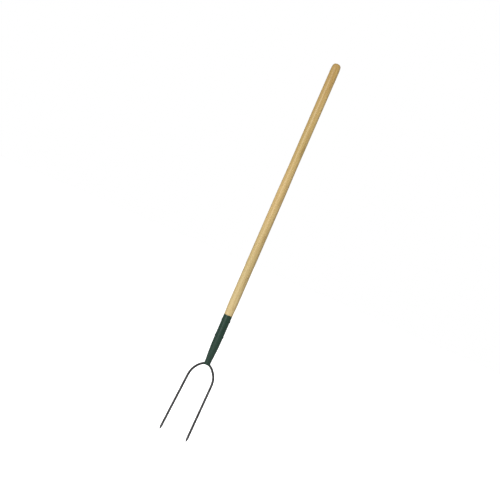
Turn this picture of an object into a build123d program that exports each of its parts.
from build123d import *
import os

# Two-tine hay fork: ash shaft, tapered steel ferrule, forged head with tang, two rivets.
# Frame: +Z runs up the shaft to its domed end, +X is to the right and the tines lean
# towards -Y, the front of the tool. The origin is the centre of the parallel hand grip
# at the top of the shaft, on the shaft's axis. Millimetres.

# ---------------------------------------------------------------- driving dimensions
# Shaft
SHAFT_LENGTH = 1220.0         # 48 in shaft, spigot included
SHAFT_TOP = 150.0             # top of the dome above the origin
DOME_DEPTH = 13.0             # height of the dome at the end
DOME_R = 16.8                 # radius where the dome starts
GRIP_R = 18.0                 # parallel hand grip
GRIP_LENGTH = 230.0
WAIST_R = 17.5                # slight waist below the grip
WAIST_Z = -285.0
BELLY_R = 18.5                # fuller lower half of the shaft
BELLY_TOP_Z = -400.0
BELLY_END_Z = -860.0
SHOULDER_R = 16.75            # shaft radius where it meets the rim of the ferrule

# Ferrule: swaged steel tube, parallel and then tapering to a round nose
MOUTH_Z = -909.6              # upper rim
FERRULE_R = 17.0              # outside radius of the parallel part
FERRULE_WALL = 1.8
RIM_CHAMFER = 0.6
TAPER_TOP_Z = -1008.0
NOSE_R = 12.8                 # outside radius at the nose
NOSE_TOP_Z = -1106.0
LIP_Z = -1117.6               # lower edge, closed in on the neck
LIP_FLAT = 0.25               # width of the flat lower edge
NOTCH_HALF_LENGTH = 16.0      # notch along X, past both sides of the nose
NOTCH_ARCH = 4.0              # rise of the notch's arched top
NOTCH_BOTTOM_Z = -1140.0      # clear of the lip

# Fork head
BAR_R = 4.75                  # 3/8 in round bar of the bow and the tines
CROWN_Z = -1114.3             # centre line of the bar at the top of the bow
LEAN = 0.0014                 # the bow leans forward as y = -LEAN * drop^2
LEAN_END = 81.0               # drop below the crown where the tines become straight
TINE_END_Z = -1394.0          # where the points start
TINE_X_TOP = 52.0             # half spacing of the tines where they become straight
TINE_X_END = 56.35            # half spacing where the points start
# (x, z) of the bar's centre line on the right-hand half of the bow, crown to shoulder
BOW = [
    (15.8, -1119.2),
    (32.6, -1134.2),
    (43.2, -1149.8),
    (49.3, -1166.5),
]
POINT_LENGTH = 15.0
POINT_OVERLAP = 1.0           # how far the point's solid reaches back into the bar
TIP_R = 0.45                  # blunt tip of the point
TIP_DEPTH = 0.35
NECK_BASE_Z = -1117.3         # flat underside of the neck
NECK_CHAMFER = 0.8
TANG_TOP_Z = -948.0           # where the tang's cone ends
TANG_R_TOP = 3.0
TANG_R_ROOT = 7.2
TANG_TIP = 1.5                # height of the low cone on top of the tang
TANG_OVERLAP = 5.0            # how far the tang's root reaches into the neck

# Rivets
RIVET_R = 2.25
RIVET_HEAD_R = 4.6
RIVET_HEAD_H = 1.5
RIVET_HEAD_EDGE_H = 0.3       # height of the head's edge above the ferrule's radius
RIVET_HEAD_ROOT = 2.0         # depth of the head's blank before its seat is cut
RIVET_SEAT_CUT = 8.0          # half height of the cylinder that cuts the seats
RIVET_SHANK_OVERLAP = 0.4     # how far the shank runs into each head
FERRULE_RIVET_Z = -932.0
TANG_RIVET_Z = -998.0

# Fits
SPIGOT_GAP = 0.15             # spigot and neck to the inside of the ferrule
BAR_GAP = 0.12                # bar to the notches in the nose
TANG_GAP = 0.10               # tang to its bore
BORE_CONE_GAP = 1.0           # top of the tang's cone to the top of the bore's cone
BORE_TOP_GAP = 3.0            # top of the tang's cone to the end of the bore
RIVET_GAP = 0.08              # rivet to its holes
HEAD_GAP = 0.08               # underside of the rivet heads to the ferrule
END_GAP = 0.20                # faces that meet end to end
CUT_REACH = 30.0              # rivet-hole cuts, to each side of the axis
CUT_OVERRUN = 1.0             # bore cut past the end of the spigot

# ---------------------------------------------------------------- derived dimensions
SHAFT_END_Z = SHAFT_TOP - SHAFT_LENGTH
DOME_BASE_Z = SHAFT_TOP - DOME_DEPTH
GRIP_END_Z = GRIP_LENGTH / 2
SHOULDER_Z = MOUTH_Z + END_GAP
FERRULE_BORE_R = FERRULE_R - FERRULE_WALL
NOSE_BORE_R = NOSE_R - FERRULE_WALL
FIT_INSET = FERRULE_WALL + SPIGOT_GAP   # outside of the ferrule to spigot and neck
SPIGOT_R = FERRULE_R - FIT_INSET
NECK_R = NOSE_R - FIT_INSET
BORE_ROOT_R = TANG_R_ROOT + TANG_GAP
RIVET_HOLE_R = RIVET_R + RIVET_GAP
RIVET_PLACES = [(0, FERRULE_RIVET_Z), (0, TANG_RIVET_Z)]   # (y, z)
STRAIGHT_Z = CROWN_Z - LEAN_END


def taper(inset):
    """Bezier control points of the ferrule's taper, moved in by an inset."""
    return [
        (FERRULE_R - inset, TAPER_TOP_Z),
        (FERRULE_R - inset, TAPER_TOP_Z - 56),
        (NOSE_R + 0.8 - inset, NOSE_TOP_Z + 24),
        (NOSE_R - inset, NOSE_TOP_Z),
    ]


def centre_line_point(x, z):
    """Point on the bar's centre line, leaning forward with its drop below the crown."""
    drop = CROWN_Z - z
    if drop <= LEAN_END:
        return Vector(x, -LEAN * drop**2, z)
    straight_drop = drop - LEAN_END
    return Vector(x, -(LEAN * LEAN_END**2 + 2 * LEAN * LEAN_END * straight_drop), z)


def mirrored(vector):
    """The same vector on the left-hand side."""
    return Vector(-vector.X, vector.Y, vector.Z)


def export(part, name):
    part.label = name
    export_step(part, f"parts/{name}.step")


# ---------------------------------------------------------------- handle
# Bezier control points (radius, z) of the shaft's outline, from the top down
DOME_CURVE = [
    (0, SHAFT_TOP),
    (DOME_R - 7.2, SHAFT_TOP),
    (DOME_R - 1.2, DOME_BASE_Z + 9.4),
    (DOME_R, DOME_BASE_Z),
]
DOME_TO_GRIP = [
    (DOME_R, DOME_BASE_Z),
    (DOME_R + 0.4, DOME_BASE_Z - 3.1),
    (GRIP_R, GRIP_END_Z + 13),
    (GRIP_R, GRIP_END_Z),
]
GRIP_TO_WAIST = [
    (GRIP_R, -GRIP_END_Z),
    (GRIP_R, -GRIP_END_Z - 60),
    (WAIST_R, WAIST_Z + 60),
    (WAIST_R, WAIST_Z),
]
WAIST_TO_BELLY = [
    (WAIST_R, WAIST_Z),
    (WAIST_R, WAIST_Z - 40),
    (BELLY_R, BELLY_TOP_Z + 40),
    (BELLY_R, BELLY_TOP_Z),
]
BELLY_TO_SHOULDER = [
    (BELLY_R, BELLY_END_Z),
    (BELLY_R, BELLY_END_Z - 20),
    (SHOULDER_R + 0.2, MOUTH_Z + 22),
    (SHOULDER_R, SHOULDER_Z),
]


def make_handle():
    with BuildPart() as handle:
        # Shaft and the spigot inside the ferrule.
        with BuildSketch(Plane.XZ):
            with BuildLine():
                Bezier(*DOME_CURVE)
                Bezier(*DOME_TO_GRIP)
                Line((GRIP_R, GRIP_END_Z), (GRIP_R, -GRIP_END_Z))
                Bezier(*GRIP_TO_WAIST)
                Bezier(*WAIST_TO_BELLY)
                Line((BELLY_R, BELLY_TOP_Z), (BELLY_R, BELLY_END_Z))
                Bezier(*BELLY_TO_SHOULDER)
                Polyline(
                    (SHOULDER_R, SHOULDER_Z),
                    (SPIGOT_R, SHOULDER_Z),
                    (SPIGOT_R, TAPER_TOP_Z),
                )
                Bezier(*taper(FIT_INSET))
                Polyline((NECK_R, NOSE_TOP_Z), (0, NOSE_TOP_Z), (0, SHAFT_TOP))
            make_face()
        revolve(axis=Axis.Z)
        # The spigot ends square, inside the ferrule.
        split(bisect_by=Plane.XY.offset(SHAFT_END_Z), keep=Keep.TOP)
        # Tapered bore for the tang.
        with BuildSketch(Plane.XZ):
            with BuildLine():
                Polyline(
                    (0, SHAFT_END_Z - CUT_OVERRUN),
                    (BORE_ROOT_R, SHAFT_END_Z - CUT_OVERRUN),
                    (BORE_ROOT_R, SHAFT_END_Z),
                    (TANG_R_TOP + TANG_GAP, TANG_TOP_Z + BORE_CONE_GAP),
                    (0, TANG_TOP_Z + BORE_TOP_GAP),
                    close=True,
                )
            make_face()
        revolve(axis=Axis.Z, mode=Mode.SUBTRACT)
        # Rivet holes across the spigot.
        with BuildSketch(Plane.YZ):
            with Locations(*RIVET_PLACES):
                Circle(RIVET_HOLE_R)
        extrude(amount=CUT_REACH, both=True, mode=Mode.SUBTRACT)
    return handle.part


# ---------------------------------------------------------------- ferrule
# Bezier control points (radius, z) of the nose, closing in to the lip
NOSE_CURVE = [
    (NOSE_R, NOSE_TOP_Z),
    (NOSE_R - 0.15, NOSE_TOP_Z - 5),
    (NOSE_R - 0.7, LIP_Z + 1.2),
    (NOSE_BORE_R + LIP_FLAT, LIP_Z),
]


def make_ferrule():
    with BuildPart() as ferrule:
        # Tube wall: down the outside, then up the bore.
        with BuildSketch(Plane.XZ):
            with BuildLine():
                Polyline(
                    (FERRULE_BORE_R, MOUTH_Z),
                    (FERRULE_R - RIM_CHAMFER, MOUTH_Z),
                    (FERRULE_R, MOUTH_Z - RIM_CHAMFER),
                    (FERRULE_R, TAPER_TOP_Z),
                )
                Bezier(*taper(0))
                Bezier(*NOSE_CURVE)
                Polyline(
                    (NOSE_BORE_R + LIP_FLAT, LIP_Z),
                    (NOSE_BORE_R, LIP_Z),
                    (NOSE_BORE_R, NOSE_TOP_Z),
                )
                Bezier(*taper(FERRULE_WALL))
                Line((FERRULE_BORE_R, TAPER_TOP_Z), (FERRULE_BORE_R, MOUTH_Z))
            make_face()
        revolve(axis=Axis.Z)
        # Side notches that the bar passes through, open at the bottom.
        notch_top = CROWN_Z + BAR_R + BAR_GAP
        notch_right = (NOTCH_HALF_LENGTH, notch_top - NOTCH_ARCH)
        notch_left = (-NOTCH_HALF_LENGTH, notch_top - NOTCH_ARCH)
        with BuildSketch(Plane.XZ):
            with BuildLine():
                ThreePointArc(notch_left, (0, notch_top), notch_right)
                Polyline(
                    notch_right,
                    (NOTCH_HALF_LENGTH, NOTCH_BOTTOM_Z),
                    (-NOTCH_HALF_LENGTH, NOTCH_BOTTOM_Z),
                    notch_left,
                )
            make_face()
        extrude(amount=BAR_R + BAR_GAP, both=True, mode=Mode.SUBTRACT)
        # Rivet holes.
        with BuildSketch(Plane.YZ):
            with Locations(*RIVET_PLACES):
                Circle(RIVET_HOLE_R)
        extrude(amount=CUT_REACH, both=True, mode=Mode.SUBTRACT)
    return ferrule.part


# ---------------------------------------------------------------- fork head
def make_fork_head():
    tine_top = centre_line_point(TINE_X_TOP, STRAIGHT_Z)
    tine_end = centre_line_point(TINE_X_END, TINE_END_Z)
    tine_dir = (tine_end - tine_top).normalized()
    right_bow = [centre_line_point(x, z) for x, z in BOW]
    left_bow = [mirrored(point) for point in reversed(right_bow)]

    with BuildPart() as fork_head:
        # Neck that fills the nose of the ferrule, cut off just below the spigot.
        with BuildSketch(Plane.XZ):
            with BuildLine():
                Polyline((0, TAPER_TOP_Z), (SPIGOT_R, TAPER_TOP_Z))
                Bezier(*taper(FIT_INSET))
                Polyline(
                    (NECK_R, NOSE_TOP_Z),
                    (NECK_R, NECK_BASE_Z + NECK_CHAMFER),
                    (NECK_R - NECK_CHAMFER, NECK_BASE_Z),
                    (0, NECK_BASE_Z),
                    (0, TAPER_TOP_Z),
                )
            make_face()
        revolve(axis=Axis.Z)
        split(bisect_by=Plane.XY.offset(SHAFT_END_Z - END_GAP), keep=Keep.BOTTOM)
        # Tapered tang.
        with BuildSketch(Plane.XZ):
            with BuildLine():
                Polyline(
                    (0, SHAFT_END_Z - TANG_OVERLAP),
                    (TANG_R_ROOT, SHAFT_END_Z - TANG_OVERLAP),
                    (TANG_R_ROOT, SHAFT_END_Z),
                    (TANG_R_TOP, TANG_TOP_Z),
                    (0, TANG_TOP_Z + TANG_TIP),
                    close=True,
                )
            make_face()
        revolve(axis=Axis.Z)
        # Hole across the tang for its rivet.
        with BuildSketch(Plane.YZ):
            with Locations((0, TANG_RIVET_Z)):
                Circle(RIVET_HOLE_R)
        extrude(amount=CUT_REACH, both=True, mode=Mode.SUBTRACT)
        # Round bar: straight tine, bow, straight tine.
        with BuildLine() as bar_path:
            Line(mirrored(tine_end), mirrored(tine_top))
            Spline(
                mirrored(tine_top),
                *left_bow,
                (0, 0, CROWN_Z),
                *right_bow,
                tine_top,
                tangents=[
                    (tine_dir.X, -tine_dir.Y, -tine_dir.Z),
                    (tine_dir.X, tine_dir.Y, tine_dir.Z),
                ],
            )
            Line(tine_top, tine_end)
        with BuildSketch(Plane(origin=bar_path.line @ 0, z_dir=bar_path.line % 0)):
            Circle(BAR_R)
        sweep(path=bar_path.line)
        # Points: a blunt ogive on the end of each tine, drawn as (radius, distance along).
        for base, along in ((tine_end, tine_dir), (mirrored(tine_end), mirrored(tine_dir))):
            across = Vector(0, 1, 0).cross(along).normalized()
            with BuildSketch(Plane(origin=base, x_dir=across, z_dir=across.cross(along))):
                with BuildLine():
                    Polyline(
                        (0, -POINT_OVERLAP),
                        (0, POINT_LENGTH),
                        (TIP_R, POINT_LENGTH - TIP_DEPTH),
                    )
                    Bezier(
                        (TIP_R, POINT_LENGTH - TIP_DEPTH),
                        (BAR_R * 0.55, POINT_LENGTH * 0.62),
                        (BAR_R, POINT_LENGTH * 0.35),
                        (BAR_R, 0),
                    )
                    Polyline((BAR_R, 0), (BAR_R, -POINT_OVERLAP), (0, -POINT_OVERLAP))
                make_face()
            revolve(axis=Axis(base, along))
    return fork_head.part


# ---------------------------------------------------------------- rivets
# Each rivet runs across the tool along X. Its two low domed heads are seated on the round
# outside of the ferrule.
def make_ferrule_rivet():
    rivet_plane = Plane.XY.offset(FERRULE_RIVET_Z)
    root = FERRULE_R - RIVET_HEAD_ROOT
    edge = FERRULE_R + RIVET_HEAD_EDGE_H
    top = FERRULE_R + RIVET_HEAD_H
    with BuildPart() as rivet:
        for side in (1, -1):
            with BuildSketch(rivet_plane):
                with BuildLine():
                    Line((side * root, 0), (side * top, 0))
                    ThreePointArc(
                        (side * top, 0),
                        (side * (top - 0.35), RIVET_HEAD_R * 0.6),
                        (side * edge, RIVET_HEAD_R),
                    )
                    Polyline(
                        (side * edge, RIVET_HEAD_R),
                        (side * root, RIVET_HEAD_R),
                        (side * root, 0),
                    )
                make_face()
            revolve(axis=Axis((0, 0, FERRULE_RIVET_Z), (1, 0, 0)))
        # Hollow the undersides to seat on the ferrule.
        with BuildSketch(rivet_plane):
            Circle(FERRULE_R + HEAD_GAP)
        extrude(amount=RIVET_SEAT_CUT, both=True, mode=Mode.SUBTRACT)
        # Shank.
        with BuildSketch(Plane.YZ):
            with Locations((0, FERRULE_RIVET_Z)):
                Circle(RIVET_R)
        extrude(amount=FERRULE_R + RIVET_SHANK_OVERLAP, both=True)
    return rivet.part


def make_tang_rivet(ferrule_rivet):
    """The same rivet, lower down at the tang."""
    with BuildPart() as rivet:
        add(ferrule_rivet.moved(Location((0, 0, TANG_RIVET_Z - FERRULE_RIVET_Z))))
    return rivet.part


# ---------------------------------------------------------------- export
os.makedirs("parts", exist_ok=True)
export(make_handle(), "handle")
export(make_ferrule(), "ferrule")
export(make_fork_head(), "fork_head")
upper_rivet = make_ferrule_rivet()
export(upper_rivet, "ferrule_rivet")
export(make_tang_rivet(upper_rivet), "tang_rivet")
